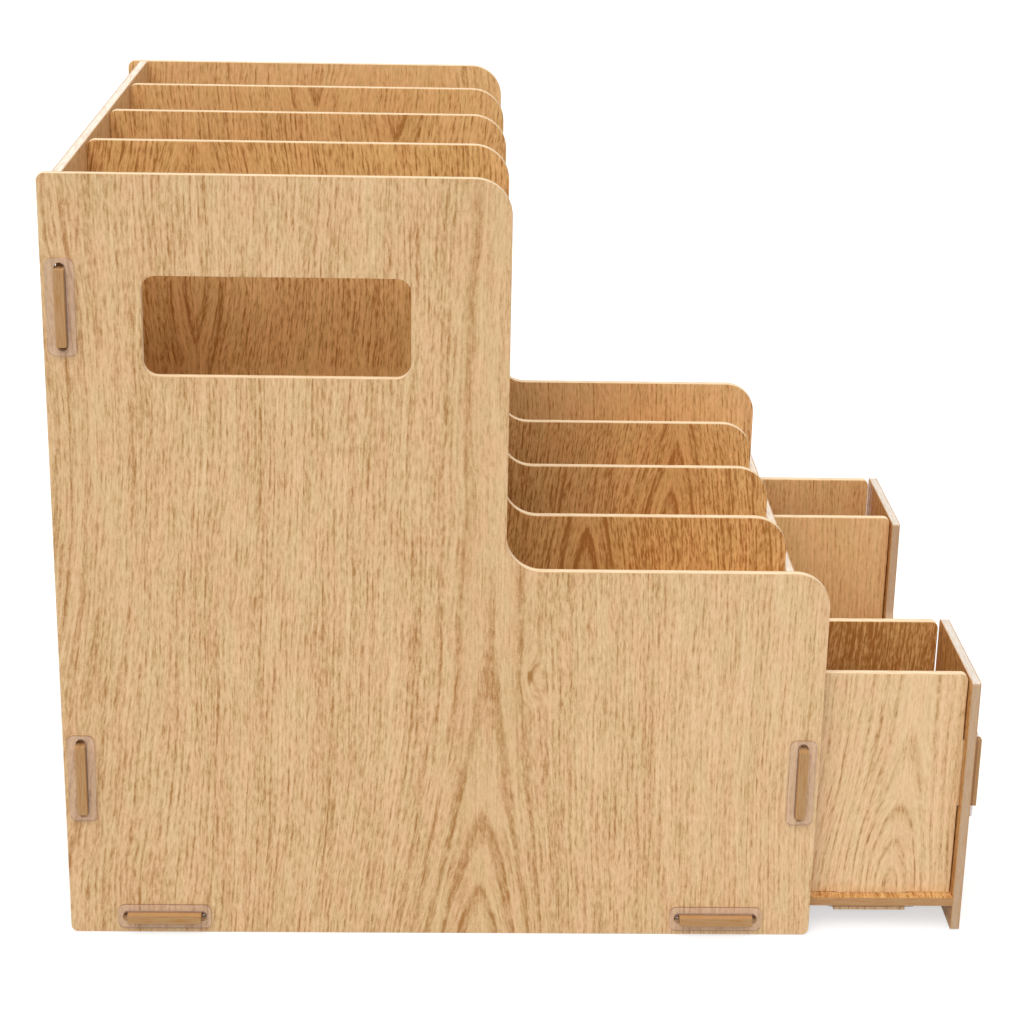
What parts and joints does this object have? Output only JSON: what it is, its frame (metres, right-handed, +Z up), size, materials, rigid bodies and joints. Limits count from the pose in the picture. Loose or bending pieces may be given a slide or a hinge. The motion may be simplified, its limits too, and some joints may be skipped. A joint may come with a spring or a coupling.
{
  "type": "desk file organizer with drawer",
  "caption": "Stepped desk organizer of slotted boards: upright file slots, low front letter slots over a pull-out drawer with two boxes and a middle tray.",
  "frame": {"origin": "bottom centre of the whole object's box, drawer open as shown", "axes": "+X towards the drawer, along the side panels; +Y from the near side panel to the far one, across the file slots; +Z up"},
  "size_m": [0.391, 0.2716, 0.334],
  "materials": {
    "oak_board": "light oak veneer on medium-density fibreboard, satin, cut edges pale",
    "clear_clip": "clear moulded plastic, glossy"
  },
  "bodies": {
    "cabinet": {"near_side_panel": "oak_board", "far_side_panel": "oak_board", "divider_1": "oak_board", "divider_2": "oak_board", "divider_3": "oak_board", "back_panel": "oak_board", "front_board": "oak_board", "floor_board": "oak_board", "deck_board": "oak_board", "bay_back_board": "oak_board", "near_side_clips": "clear_clip", "far_side_clips": "clear_clip", "back_panel_clips": "clear_clip", "floor_clips": "clear_clip"},
    "drawer": {"drawer_front": "oak_board", "drawer_bottom": "oak_board", "drawer_back": "oak_board", "drawer_near_outer_wall": "oak_board", "drawer_near_inner_wall": "oak_board", "drawer_far_inner_wall": "oak_board", "drawer_far_outer_wall": "oak_board", "drawer_front_clips": "clear_clip", "drawer_bottom_clips": "clear_clip", "drawer_glide_clips": "clear_clip"}
  },
  "joints": [
    {"name": "drawer_slide", "type": "slide", "parent": "cabinet", "child": "drawer", "axis": [1, 0, 0], "range_m": [-0.0683, 0]}
  ]
}
